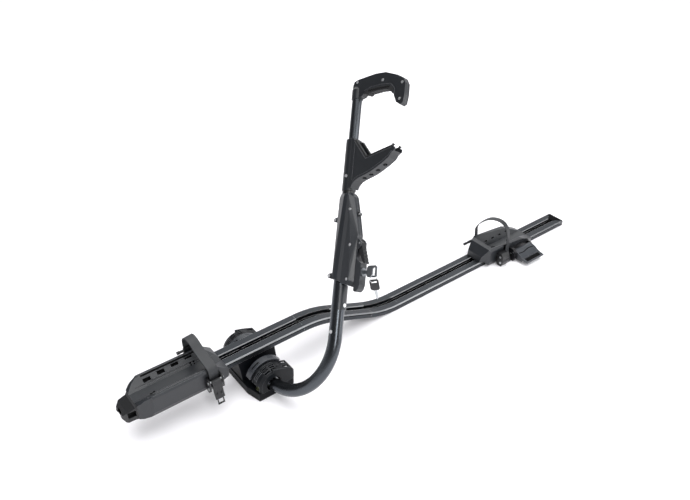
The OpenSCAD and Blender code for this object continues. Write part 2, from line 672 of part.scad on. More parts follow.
module rear_buckle_frame() {
    x0 = rear_strap_x - rstrap_w / 2;
    x1 = rear_strap_x + rstrap_w / 2;
    color("#1d1f21") difference() {
        union() {
            translate([x0 - 30, 0, 0]) along_x(0, 27)
                polygon([[-tray_y, 40], [-rpin_y - 6, 43], [-rpin_y - 13, 35], [-rpin_y - 15, 15],
                    [-rpin_y - 9, 2], [-rpin_y + 4, 1], [-tray_y, 12]]);
            translate([x1 + 3, 0, 0]) along_x(0, 9)
                polygon([[-tray_y, 38], [-rpin_y - 5, 41], [-rpin_y - 14, 33], [-rpin_y - 17, 15],
                    [-rpin_y - 12, 1], [-rpin_y + 4, 1], [-tray_y, 14]]);
            translate([x1 + rlever_w + 14, 0, 0]) along_x(0, 4)
                polygon([[-tray_y, 30], [-rpin_y - 3, rpin_z + 6], [-rpin_y - 6, rpin_z],
                    [-rpin_y - 3, rpin_z - 6], [-tray_y, 12]]);
            translate([x0 - 30, -tray_y - 2, 12]) cube([rstrap_w + rlever_w + 47, 2, 20]);
        }
        translate([x1, -rpin_y, rpin_z]) rod_x(2.55, 0, rlever_w + 30);
        translate([x1 - 1, -rpin_y - 9, rpin_z + 8]) rod_x(2.5, 0, 11);
        for (p = [[-rpin_y - 3, 31], [-rpin_y - 6, 13]]) translate([x0 - 31, p[0], p[1]]) rod_x(2.5, 0, 20);
        for (z = [9, 22]) translate([x0 - 31, -rpin_y - 16, z]) cube([29, 3.6, 2]);
    }
}

module rear_buckle_pins() {
    x0 = rear_strap_x - rstrap_w / 2;
    x1 = rear_strap_x + rstrap_w / 2;
    color("#c9ccd0") {
        translate([x1, -rpin_y, rpin_z]) rod_x(2.5, 2.6, rlever_w + 18.4);
        translate([x1, -rpin_y - 9, rpin_z + 8]) rod_x(2.45, 2.6, 9);
        for (p = [[-rpin_y - 3, 31], [-rpin_y - 6, 13]]) translate([x0 - 31.2, p[0], p[1]]) {
            rod_x(2.45, 0, 18);
            rod_x(3.4, 0, 1.2);
        }
    }
}

module rear_buckle_lever() {
    x1 = rear_strap_x + rstrap_w / 2;
    color("#303235") difference() {
        union() {
            along_x(x1 + 13, x1 + 13 + rlever_w)
                polygon([[-rpin_y + 4, rpin_z + 3], [-rpin_y, rpin_z + 6], [-rpin_y - 6, rpin_z + 7],
                    [-rpin_y - 22, rpin_z + 3], [-rpin_y - 38, rpin_z - 5], [-rpin_y - 57, rpin_z - 8],
                    [-rpin_y - 57, rpin_z - 11], [-rpin_y - 38, rpin_z - 10], [-rpin_y - 22, rpin_z - 5],
                    [-rpin_y - 4, rpin_z - 5], [-rpin_y + 3, rpin_z - 4]]);
            for (s = [13, 9.5 + rlever_w]) translate([x1 + s, 0, 0]) along_x(0, 3.5)
                polygon([[-rpin_y - 8, rpin_z - 4], [-rpin_y - 38, rpin_z - 8], [-rpin_y - 36, rpin_z - 15],
                    [-rpin_y - 14, rpin_z - 17]]);
        }
        translate([x1, -rpin_y, rpin_z]) rod_x(2.5 + run, 0, rlever_w + 30);
        for (k = [0:2]) translate([x1 + 21 + 24 * k, -rpin_y - 30, rpin_z + 2])
            rotate([30, 0, 0]) cube([16, 14, 3]);
    }
}

// Arm

module tube_bend() {
    at_lean() translate([0, -arm_y, arm_r]) rotate([90, 0, 90]) rotate([0, 0, -90 - arm_b - 0.4])
        rotate_extrude(angle = arm_b + 0.8) translate([arm_r, 0]) difference() {
            circle(r = tube_r + seam);
            circle(r = tube_r - tube_t - seam);
        }
}

module arm_tube() {
    color("#1e2022") difference() {
        union() {
            tube_bend();
            at_lean() difference() {
                rod_y(tube_r, -arm_y, -arm_in);
                rod_y(tube_r - tube_t, -arm_y - 1, -arm_in + 1);
            }
            at_arm() arm_ring(tube_r - tube_t, tube_r, 0, low_len);
        }
        at_arm() cross_rod(0, 9, 3.02, -tube_r - 1, 0);
        at_arm() reach_rod(68, 3.02, 0, tube_r + 1);
    }
}

module guide_bush() {
    color("#5a5d60") at_arm() arm_ring(slim_r + run, tube_r - tube_t, low_len - 34, low_len);
}

module arm_cover_strip() {
    color("#151617") at_arm() difference() {
        intersection() {
            arm_ring(tube_r + 0.05, tube_r + 3, 58, case_s0 + 4);
            arm_plate([[12, 57], [12, 130], [30, 130], [30, 62], [24, 57]], -30, 30);
        }
        reach_rod(68, 3.02, 0, 40);
    }
}

module arm_rivets() {
    color("#d2d4d7") at_arm() {
        cross_rod(0, 9, 3, -tube_r - 0.6, -tube_r + tube_t);
        cross_rod(0, 9, 4, -tube_r - 1.6, -tube_r - 0.4);
        reach_rod(68, 3, tube_r - tube_t, tube_r + 3.4);
        reach_rod(68, 4.2, tube_r + 3.2, tube_r + 4.4);
        cross_rod(3, 354, 2.5, -sleeve_r - 0.6, -slim_r - 1.6);
        cross_rod(3, 354, 3.4, -sleeve_r - 1.6, -sleeve_r - 0.2);
    }
}

// Clutch housing: two shells that meet in the arm's plane

case_face = [[-11, 126], [-8, 180], [2, 280], [3, 308], [5, 314], [13, 314], [17, 308], [24, 268], [32, 215],
    [37, 160], [38, 122], [34, case_s0 + 3]];
case_edge = [[-18.5, 130], [-18.5, 306], [-14, case_s1], [17, case_s1], [25, 307], [36, 268], [47, 222],
    [47.5, 118], [42, case_s0], [-10, 123]];
case_pins = [[23, 278], [32, 199], [31, 124]];
case_ears = [[-31, 258, 4.6], [-34, 132, 5.2], [41, 268, 3.4]];

module case_solid(g) {
    hull() {
        arm_plate(case_face, -case_t + g, case_t - g);
        arm_plate(case_edge, -8, 8);
    }
}

module case_shell() {
    difference() {
        union() {
            case_solid(0);
            for (p = case_ears) {
                cross_rod(p[0], p[1], p[2], -2.5, 2.5);
                arm_plate([[p[0], p[1] + p[2] - 0.1], [p[0] > 0 ? 30 : -15, p[1] + 9],
                    [p[0] > 0 ? 30 : -15, p[1] - 9], [p[0], p[1] - p[2] + 0.1]], -2.5, 2.5);
            }
        }
        arm_rod(tube_r + 0.05, 90, low_len + 0.5);
        arm_ring(0.1, tube_r + 3.2, 90, case_s0 + 6);
        arm_rod(slim_r + 0.6, low_len, case_s1 + 1);
        arm_plate([[6, 140], [6, 190], [27, 190], [30, 140]], -case_t + 2.6, case_t - 2.6);
        arm_plate([[2, 214], [2, 296], [14, 296], [26, 214]], -case_t + 2.6, case_t - 2.6);
        for (p = case_ears) cross_rod(p[0], p[1], p[2] - 2.6, -9, 9);
        for (p = case_pins) {
            cross_rod(p[0], p[1], 4, -case_t - 4, -case_t + 3.4);
            cross_rod(p[0], p[1], 1.75, -case_t, 12);
        }
        translate([0, -7, 205]) rotate([3, 0, 0]) linear_extrude(280, center = true)
            polygon([[-case_t - 3, 30], [-case_t + 1.3, 0], [-case_t - 3, -40]]);
    }
}

module housing_front() {
    color("#404346") at_arm() intersection() {
        case_shell();
        translate([-60, -100, 60]) cube([60, 200, 300]);
    }
}

module housing_rear() {
    color("#34373a") at_arm() intersection() {
        case_shell();
        translate([0, -100, 60]) cube([60, 200, 300]);
    }
}

module housing_screws() {
    color("#d2d4d7") at_arm() {
        for (p = case_pins) {
            cross_rod(p[0], p[1], 3.2, -case_t + 1.2, -case_t + 3.4);
            cross_rod(p[0], p[1], 1.7, -case_t + 3, 11);
        }
        for (p = case_ears) {
            cross_rod(p[0], p[1], p[2] - 1.2, -4, -2.5);
            cross_rod(p[0], p[1], p[2] - 2.65, -2.7, 2.4);
        }
    }
}

module neck_ring() {
    color("#a9adb1") at_arm() arm_ring(slim_r + 0.6, sleeve_r - 1.6, case_s1, neck_s1);
}

// Lower jaw

jaw_top = [[12, jaw_s1], [54, 391], [126, 409]];
jaw_under = [[132, 406], [132, 400], [124, 395], [117, 385], [102, 375], [86, 366], [70, 358], [53, 352],
    [37, 347], [28, 343], [20, 335], [16, 326]];

module lower_jaw() {
    color("#2a2c2f") at_arm() difference() {
        union() {
            arm_rod(sleeve_r, neck_s1, jaw_s1 - 2);
            difference() {
                arm_plate(concat([[0, neck_s1 + 6], [0, jaw_s1]], jaw_top, jaw_under), -jaw_t, jaw_t);
                arm_plate(concat([[sleeve_r - 1, 460]], [[150, 460], [150, 397], [124, 399]],
                    [for (i = [3:9]) jaw_under[i] + [-1, 4.2]], [[sleeve_r - 1, 344]]),
                -jaw_t + 3, jaw_t - 3);
            }
        }
        arm_rod(slim_r + run, neck_s1 - 1, jaw_s1 + 20);
        for (p = [[99, 373.5], [80.5, 363], [62, 355], [43.5, 349]])
            translate([0, -p[0], p[1]]) rotate([-28, 0, 0]) scale([1.5, 1, 1])
                cylinder(r = 4.2, h = 16, center = true);
        translate([-40, -30, jaw_s1 - 2]) cube([80, 18, 30]);
        translate([-30, 10, jaw_s1 - 3]) rotate([25, 0, 0]) cube([60, 30, 20]);
        cross_rod(3, 354, 2.52, -sleeve_r - 2, -slim_r - 1.4);
        cross_rod(3, 354, 3.5, -sleeve_r - 2, -sleeve_r);
    }
}

module jaw_lips() {
    color("#56595c") at_arm() for (s = [-1, 1]) {
        arm_plate([[18, lip_s], [54, 391.1], [126, 409.1], [126, 409 + lip_t], [55.4, 391.6 + lip_t],
            [18 + lip_t * 0.9, lip_s + lip_t * 0.6]], s > 0 ? jaw_t - 5 : -jaw_t - 0.8,
            s > 0 ? jaw_t + 0.8 : -jaw_t + 5);
        cross_rod(126.6, 411 + lip_t / 2, lip_t / 2 + 0.3, s > 0 ? jaw_t - 5 : -jaw_t - 0.8,
            s > 0 ? jaw_t + 0.8 : -jaw_t + 5);
    }
}

// Lock, release lever and keys

module lock_box() {
    color("#34373a") at_arm() difference() {
        union() {
            arm_plate([[47.6, 214], [49.4, 214], [50, 172], [56, 164], [lock_e, 159], [lock_e, 114],
                [61, 104],
                [55, 98], [50, 98], [47.6, 101]], -9.6, 9.6);
            for (s = [-1, 1]) arm_plate([[48, 213], [53, 211.5], [58.5, 205], [58.5, 196], [48, 188]],
                s > 0 ? 7 : -9.6, s > 0 ? 9.6 : -7);
        }
        reach_rod(lock_s, 8.05, 50, 90);
        cross_rod(lever_e, lever_s, 2.05, -20, 20);
    }
}

module lock_barrel() {
    color("#c4c7ca") at_arm() difference() {
        union() {
            reach_rod(lock_s, 8, 50, lock_e + 0.6);
            reach_rod(lock_s, 9.2, lock_e, lock_e + 1.6);
        }
        reach_rod(lock_s, 5.5 + run, 51.5, lock_e + 5);
    }
}

module release_pin() {
    color("#b8bbbf") at_arm() cross_rod(lever_e, lever_s, 2, -10, 10);
}

module release_lever() {
    color("#202224") at_arm() difference() {
        arm_plate([[50.6, 207], [53.5, 208.5], [58, 204], [65.5, 182], [73, 160], [70, 158.4],
            [66, 161], [57.4, 176],
            [51.6, 186], [50.4, 200]], -6.6, 6.6);
        cross_rod(lever_e, lever_s, 2 + run, -20, 20);
        for (k = [0:3]) arm_plate([[61.6 + 2.6 * k, 190 - 8 * k], [66.6 + 2.6 * k, 192 - 8 * k],
            [67.6 + 2.6 * k, 190 - 8 * k], [62.6 + 2.6 * k, 188 - 8 * k]], -20, 20);
    }
}

module lock_plug() {
    color("#d8dadc") at_arm() reach_rod(lock_s, 5.5, 52, lock_e + 1.8);
}

module key_blank(bow, hole) {
    difference() {
        union() {
            arm_plate(bow, -1.4, 1.4);
            arm_plate([[lock_e + 1.8, lock_s - 3.6], [lock_e + 1.8, lock_s + 3.6], [bow[0][0] + 1, lock_s + 3.6],
                [bow[0][0] + 1, lock_s - 3.6]], -1.1, 1.1);
        }
        arm_plate(hole, -3, 3);
    }
}

module key() {
    color("#3f4245") at_arm() key_blank(
        [[74, 134], [74, 150], [78, 155], [97, 156], [101, 152], [102, 134], [98, 130], [78, 130]],
        [[90, 134], [90, 148], [93, 151], [97, 151], [97, 134]]);
}

// The spare key hangs straight down from a wire ring in the first key's bow

module key_ring() {
    color("#c4c7ca") upright(bow_e, bow_s) translate([0, 0, -11]) rotate([90, 0, 0])
        rotate_extrude() translate([10, 0]) circle(r = 0.8);
}

module at_spare() {
    upright(bow_e, bow_s) rotate([0, 0, -42]) translate([0, 0, -20]) rotate([0, -10, 0]) translate([0, 0, 1.6])
        children();
}

module spare_key() {
    color("#1a1b1c") at_spare() along_y(-1.6, 1.6) difference() {
        polygon([[-9, 0], [-6, 2.5], [8, 2.5], [11, -1], [11, -22], [8, -25], [-5, -25], [-9, -21]]);
        polygon([[-5, -7], [-5, -1], [7, -1], [7, -7]]);
    }
}

module spare_blade() {
    color("#c4c7ca") at_spare() along_y(-1, 1)
        polygon([[-2.5, -25], [5, -25], [4, -46], [1.5, -51], [-0.5, -46]]);
}

// Hook

hook_line = [[-9, hook_s0 + 6], [-9, 567], [-6, 575], [6, 579], [56, 583.5], [85, 581.5], [119, 569],
    [135, 560], [142, 547], [142, 522], [139, 504], [132, 500], [120, 508], [113, 523], [109, 540],
    [100, 549], [72, 552], [46, 551], [30, 546], [20, 538], [stem_r - 2, hook_s0 + 2]];
hook_pins = [[3, 573], [78, 565], [133, 550], [129, 514]];

module hook_solid() {
    difference() {
        union() {
            arm_plate(hook_line, -hook_t, hook_t);
            arm_rod(stem_r, hook_s0, hook_s1);
            translate([0, 0, hook_s1 - 0.01]) cylinder(r1 = stem_r, r2 = 7, h = 9);
        }
        arm_rod(slim_r + 0.02, hook_s0 - 1, hook_s1 + 0.3);
        for (p = hook_pins) {
            cross_rod(p[0], p[1], 3.25, -hook_t - 3, -hook_t + 2);
            cross_rod(p[0], p[1], 1.75, -hook_t, hook_t - 3);
        }
    }
}

module hook_front() {
    color("#36393c") at_arm() intersection() {
        hook_solid();
        translate([-60, -200, 400]) cube([60, 300, 300]);
    }
}

module hook_rear() {
    color("#303336") at_arm() intersection() {
        hook_solid();
        translate([0, -200, 400]) cube([60, 300, 300]);
    }
}

module hook_pad() {
    color("#18191b") at_arm() difference() {
        arm_plate([[30.1, 545.7], [46, 550.8], [72, 551.8], [99.9, 548.8], [108.8, 539.8], [111.2, 530], [107, 530],
            [103, 536], [97, 541], [72, 543], [48, 542], [38, 538], [26, 542]], -hook_t, hook_t);
        for (k = [0:6]) arm_plate([[43 + 8 * k, 538], [45.5 + 8 * k, 545.5], [48 + 8 * k, 538]], -20, 20);
    }
}

module hook_screws() {
    color("#d2d4d7") at_arm() for (p = hook_pins) {
        cross_rod(p[0], p[1], 3.2, -hook_t - 0.3, -hook_t + 2);
        cross_rod(p[0], p[1], 1.7, -hook_t + 1, hook_t - 3.2);
    }
}

module upper_tube() {
    color("#2a2c2e") at_arm() arm_ring(slim_r - tube_t, slim_r, upper_s0, hook_s1);
}

wheel_rail();
rail_end_cap();
base_foot();
foot_pad();
near_hood();
far_hood();
foot_bolts();
crossbar_nuts();
socket_plug();
near_clamp_lever();
far_clamp_lever();
front_wheel_tray();
front_tray_nose();
front_strap();
front_strap_peg();
front_buckle_frame();
front_buckle_pins();
front_buckle_lever();
rear_wheel_tray();
rear_tray_slider();
rear_strap();
rear_strap_peg();
rear_buckle_frame();
rear_buckle_pins();
rear_buckle_lever();
arm_tube();
guide_bush();
arm_cover_strip();
arm_rivets();
housing_front();
housing_rear();
housing_screws();
neck_ring();
lower_jaw();
jaw_lips();
lock_box();
lock_barrel();
release_pin();
release_lever();
lock_plug();
key();
key_ring();
spare_key();
spare_blade();
upper_tube();
hook_front();
hook_rear();
hook_pad();
hook_screws();
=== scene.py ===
"""A roof bike carrier: finishes, straps and fine detail over the fixed frame."""
import math
from functools import partial

import bmesh
import bpy
from mathutils import Matrix, Vector


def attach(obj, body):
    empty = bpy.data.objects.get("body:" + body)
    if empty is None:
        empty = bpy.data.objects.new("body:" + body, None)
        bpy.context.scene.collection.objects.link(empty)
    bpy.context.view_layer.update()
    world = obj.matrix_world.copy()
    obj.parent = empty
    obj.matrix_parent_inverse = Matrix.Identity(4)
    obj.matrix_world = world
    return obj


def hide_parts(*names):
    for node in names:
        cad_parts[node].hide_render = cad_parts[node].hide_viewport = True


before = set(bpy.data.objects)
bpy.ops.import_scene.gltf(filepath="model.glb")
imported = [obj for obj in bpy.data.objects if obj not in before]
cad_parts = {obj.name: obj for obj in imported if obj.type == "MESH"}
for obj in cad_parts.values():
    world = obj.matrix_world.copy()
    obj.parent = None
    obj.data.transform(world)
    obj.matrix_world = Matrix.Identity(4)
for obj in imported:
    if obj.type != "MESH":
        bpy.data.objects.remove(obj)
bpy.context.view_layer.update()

MM = 0.001

# Sizes shared with the frame, in millimetres
RAIL_H = 17
RAIL_HALF = 28.5
RAIL_FRONT = 297
BEND_X = 130
BEND_R = 260
BEND_DEG = 22
SLOT_HALF = 8.5
TOP_Z = 101
TRAY_Y = 43
TRAY_Z1 = 124
FRONT_Z = 84
STRAP_T = 2.4
FRONT_STRAP_X = -128
FRONT_STRAP_W = 24
FRONT_STRAP_SKEW = 6
REAR_STRAP_X = 844
REAR_STRAP_W = 17
REAR_STRAP_SKEW = 16
REAR_LEG_Y = 47.6
# The rear buckle lever's ends and its top from hinge to tip
REAR_LEVER_X = (865.5, 939.5)
REAR_LEVER_TOP = [(-51, 26), (-55, 29), (-61, 30), (-77, 26), (-93, 18), (-112, 15)]
# The foot of the front tray's inner walls and their slope
VALLEY_Y = 14
VALLEY_Z = TOP_Z + 4
WALL_TILT = math.atan2(TRAY_Z1 - VALLEY_Z, TRAY_Y - 20)
PIVOT_Z = 36
HOOD_R = 42
JAW_HALF = 13.5
HOOK_HALF = 8
ARM_Y = 74
ARM_R = 130
ARM_LEAN = math.radians(32.8)
ARM_BEND = math.radians(118.2)

# The arm's own axes, with the tube's line as the station
ARM = (Matrix.Translation((0, 0, PIVOT_Z)) @ Matrix.Rotation(ARM_LEAN, 4, "Y")
       @ Matrix.Translation((0, -ARM_Y - ARM_R * math.sin(ARM_BEND), ARM_R * (1 - math.cos(ARM_BEND))))
       @ Matrix.Rotation(math.radians(90) - ARM_BEND, 4, "X"))

# The straps' rounded edge, the plain margin beside the teeth, the steps of each curve and the ratchet teeth
STRAP_EDGE = 0.6
STRAP_MARGIN = 3
STRAP_STEPS = 12
TOOTH_PITCH = 3.2
TOOTH_DEPTH = 0.55

# A ridge's section: shares of its width and of its height
RIDGE_SECTION = ((-0.5, -0.4), (-0.42, 0.5), (-0.2, 0.95), (0.2, 0.95), (0.42, 0.5), (0.5, -0.4))


# Shader tools

def linear(code):
    """An sRGB hex colour as linear RGBA."""
    parts = [int(code[i:i + 2], 16) / 255 for i in (1, 3, 5)]
    return [c / 12.92 if c <= 0.04045 else ((c + 0.055) / 1.055) ** 2.4 for c in parts] + [1]


def add(tree, kind, inputs, **settings):
    """One shader node with its settings; inputs hold values or the sockets that feed them."""
    made = tree.nodes.new(kind)
    for name, value in settings.items():
        setattr(made, name, value)
    for key, value in inputs.items():
        if isinstance(value, bpy.types.NodeSocket):
            tree.links.new(value, made.inputs[key])
        else:
            made.inputs[key].default_value = value
    return made


def start(name):
    """A new material with its tree and its surface shader."""
    material = bpy.data.materials.new(name)
    material.use_nodes = True
    return material, material.node_tree, material.node_tree.nodes["Principled BSDF"]


def per_mm(size):
    """The texture scale that makes a pattern of this many millimetres."""
    return 1 / (size * MM)


def rounded(tree, radius):
    """Normals eased over sharp edges, and a mask that is 1 on those edges."""
    eased = add(tree, "ShaderNodeBevel", {"Radius": radius * MM}, samples=6)
    true = add(tree, "ShaderNodeNewGeometry", {})
    dot = add(tree, "ShaderNodeVectorMath", {0: eased.outputs[0], 1: true.outputs["Normal"]},
              operation="DOT_PRODUCT")
    mask = add(tree, "ShaderNodeMapRange", {"Value": dot.outputs["Value"], "From Min": 0.985,
                                            "From Max": 0.9, "To Min": 0.0, "To Max": 1.0})
    return eased.outputs[0], mask.outputs["Result"]


def in_corners(tree, reach):
    """A mask that falls to 0 in pockets and inner corners, where painted shade darkens the colour."""
    open_air = add(tree, "ShaderNodeAmbientOcclusion", {"Distance": reach * MM}, samples=6)
    mask = add(tree, "ShaderNodeMapRange", {"Value": open_air.outputs["AO"], "From Min": 0.35,
                                            "From Max": 0.85})
    return mask.outputs["Result"]


def shade(code, times):
    """A colour made darker or paler."""
    return [c * times for c in linear(code)[:3]] + [1]


def moulded(name, colour, edge_wear_and_highlight_colour, roughness, grain=0.9, depth=0.03, edge=0.9, edge_wear_and_highlight_share=0.5, shine=0.5):
    """Injection-moulded plastic: spark-eroded grain, slow mottling, edges worn paler and painted with a
    highlight, and painted shade in pockets and inner corners.
    """
    material, tree, shader = start(name)
    place = add(tree, "ShaderNodeTexCoord", {}).outputs["Object"]
    normal, on_edge = rounded(tree, edge)
    mottle = add(tree, "ShaderNodeTexNoise", {"Vector": place, "Scale": per_mm(34), "Detail": 3.0})
    tone = add(tree, "ShaderNodeMix", {0: mottle.outputs["Fac"], 6: shade(colour, 0.84),
                                       7: shade(colour, 1.16)}, data_type="RGBA")
    # Edges are worn paler and also painted with a highlight
    edge_wear_and_highlight_mask = add(tree, "ShaderNodeMath", {0: on_edge, 1: edge_wear_and_highlight_share}, operation="MULTIPLY")
    paint = add(tree, "ShaderNodeMix", {0: edge_wear_and_highlight_mask.outputs[0], 6: tone.outputs[2], 7: linear(edge_wear_and_highlight_colour)},
                data_type="RGBA")
    # Pockets and inner corners are darkened with painted shade
    corner_shade = add(tree, "ShaderNodeMix", {0: in_corners(tree, 9), 6: shade(colour, 0.12), 7: paint.outputs[2]},
                data_type="RGBA")
    pebble = add(tree, "ShaderNodeTexNoise", {"Vector": place, "Scale": per_mm(grain), "Detail": 2.0})
    bump = add(tree, "ShaderNodeBump", {"Height": pebble.outputs["Fac"], "Distance": depth * MM,
                                        "Strength": 0.6, "Normal": normal})
    gloss = add(tree, "ShaderNodeMapRange", {"Value": mottle.outputs["Fac"], "To Min": roughness - 0.05,
                                             "To Max": roughness + 0.05})
    tree.links.new(corner_shade.outputs[2], shader.inputs["Base Color"])
    tree.links.new(gloss.outputs["Result"], shader.inputs["Roughness"])
    tree.links.new(bump.outputs["Normal"], shader.inputs["Normal"])
    shader.inputs["IOR"].default_value = 1.5
    shader.inputs["Specular IOR Level"].default_value = shine
    return material


def anodised_tube():
    """Satin black anodised drawn aluminium: a dark metal with long soft highlights and a faint haze."""
    material, tree, shader = start("satin_black_anodised_tube")
    place = add(tree, "ShaderNodeTexCoord", {}).outputs["Object"]
    peel = add(tree, "ShaderNodeTexNoise", {"Vector": place, "Scale": per_mm(2.2), "Detail": 1.0})
    bump = add(tree, "ShaderNodeBump", {"Height": peel.outputs["Fac"], "Distance": 0.02 * MM,
                                        "Strength": 0.5})
    haze = add(tree, "ShaderNodeTexNoise", {"Vector": place, "Scale": per_mm(60), "Detail": 2.0})
    tone = add(tree, "ShaderNodeMix", {0: haze.outputs["Fac"], 6: linear("#4b4e52"), 7: linear("#515559")},
               data_type="RGBA")
    gloss = add(tree, "ShaderNodeMapRange", {"Value": haze.outputs["Fac"], "To Min": 0.25, "To Max": 0.28})
    tree.links.new(tone.outputs[2], shader.inputs["Base Color"])
    tree.links.new(gloss.outputs["Result"], shader.inputs["Roughness"])
    tree.links.new(bump.outputs["Normal"], shader.inputs["Normal"])
    shader.inputs["Metallic"].default_value = 1.0
    return material


def anodised_rail():
    """Dark anodised extruded aluminium: die lines along the length, edges worn and painted bright as a
    highlight, and painted shade in corners and on the slot's floor.
    """
    material, tree, shader = start("dark_anodised_aluminium")
    place = add(tree, "ShaderNodeTexCoord", {}).outputs["Object"]
    # Die lines a little under a millimetre apart, drawn coarse enough to show
    along = add(tree, "ShaderNodeMapping", {"Vector": place,
                                            "Scale": (per_mm(900), per_mm(1.6), per_mm(1.6))})
    lines = add(tree, "ShaderNodeTexNoise", {"Vector": along.outputs[0], "Scale": 1.0, "Detail": 3.0})
    normal, on_edge = rounded(tree, 1.1)
    tone = add(tree, "ShaderNodeMix", {0: lines.outputs["Fac"], 6: linear("#282b2e"), 7: linear("#414448")},
               data_type="RGBA")
    # Pockets and inner corners of the rail are darkened with painted shade
    dull = add(tree, "ShaderNodeMix", {0: in_corners(tree, 12), 6: linear("#08090a"), 7: tone.outputs[2]},
               data_type="RGBA")
    # The slot's far lip, on its face turned to the near side, and the outer chamfers are painted pale along
    # the whole length as a painted highlight
    across = add(tree, "ShaderNodeSeparateXYZ", {0: place}).outputs["Y"]
    off = add(tree, "ShaderNodeMath", {0: across}, operation="ABSOLUTE").outputs[0]
    face = add(tree, "ShaderNodeNewGeometry", {}).outputs["True Normal"]
    facing = add(tree, "ShaderNodeSeparateXYZ", {0: face})
    upright = add(tree, "ShaderNodeMath", {0: facing.outputs["Y"], 1: -0.9}, operation="LESS_THAN")
    lip = add(tree, "ShaderNodeMath", {0: across, 1: SLOT_HALF * MM, 2: 0.5 * MM}, operation="COMPARE")
    lip_highlight = add(tree, "ShaderNodeMath", {0: lip.outputs[0], 1: upright.outputs[0]}, operation="MULTIPLY")
    corner = add(tree, "ShaderNodeMath", {0: off, 1: (RAIL_HALF - 1.3) * MM, 2: 1.2 * MM},
                 operation="COMPARE")
    chamfer_highlight = add(tree, "ShaderNodeMath", {0: corner.outputs[0], 1: 0.34}, operation="MULTIPLY")
    cut = add(tree, "ShaderNodeMath", {0: lip_highlight.outputs[0], 1: chamfer_highlight.outputs[0]}, operation="MAXIMUM")
    edges = add(tree, "ShaderNodeMath", {0: on_edge, 1: cut.outputs[0]}, operation="MAXIMUM")
    rail_edge_wear_and_highlight = add(tree, "ShaderNodeMath", {0: edges.outputs[0], 1: 0.9}, operation="MULTIPLY")
    paint = add(tree, "ShaderNodeMix", {0: rail_edge_wear_and_highlight.outputs[0], 6: dull.outputs[2], 7: linear("#d4d6d8")},
                data_type="RGBA")
    # The painted highlight on the edges is made less metallic, so it stays pale from every side
    highlight_metallic = add(tree, "ShaderNodeMapRange", {"Value": rail_edge_wear_and_highlight.outputs[0], "To Min": 0.9, "To Max": 0.2})
    # The slot's floor is painted black as painted shade
    slot_floor_shade = add(tree, "ShaderNodeMath", {0: off, 1: (SLOT_HALF - 0.1) * MM}, operation="LESS_THAN")
    paint = add(tree, "ShaderNodeMix", {0: slot_floor_shade.outputs[0], 6: paint.outputs[2], 7: linear("#060708")},
                data_type="RGBA")
    bump = add(tree, "ShaderNodeBump", {"Height": lines.outputs["Fac"], "Distance": 0.03 * MM,
                                        "Strength": 0.5, "Normal": normal})
    gloss = add(tree, "ShaderNodeMapRange", {"Value": lines.outputs["Fac"], "To Min": 0.3, "To Max": 0.44})
    tree.links.new(paint.outputs[2], shader.inputs["Base Color"])
    tree.links.new(gloss.outputs["Result"], shader.inputs["Roughness"])
    tree.links.new(bump.outputs["Normal"], shader.inputs["Normal"])
    tree.links.new(highlight_metallic.outputs["Result"], shader.inputs["Metallic"])
    return material


def plated_steel(name, colour, roughness, streak):
    """Plated or oxidised steel: a satin metal with fine tumbling marks."""
    material, tree, shader = start(name)
    place = add(tree, "ShaderNodeTexCoord", {}).outputs["Object"]
    marks = add(tree, "ShaderNodeTexNoise", {"Vector": place, "Scale": per_mm(streak), "Detail": 4.0})
    normal, on_edge = rounded(tree, 0.4)
    gloss = add(tree, "ShaderNodeMapRange", {"Value": marks.outputs["Fac"], "To Min": roughness - 0.06,
                                             "To Max": roughness + 0.08})
    tone = add(tree, "ShaderNodeMix", {0: marks.outputs["Fac"], 6: shade(colour, 0.8), 7: linear(colour)},
               data_type="RGBA")
    bump = add(tree, "ShaderNodeBump", {"Height": marks.outputs["Fac"], "Distance": 0.01 * MM,
                                        "Strength": 0.4, "Normal": normal})
    tree.links.new(tone.outputs[2], shader.inputs["Base Color"])
    tree.links.new(gloss.outputs["Result"], shader.inputs["Roughness"])
    tree.links.new(bump.outputs["Normal"], shader.inputs["Normal"])
    shader.inputs["Metallic"].default_value = 1.0
    return material


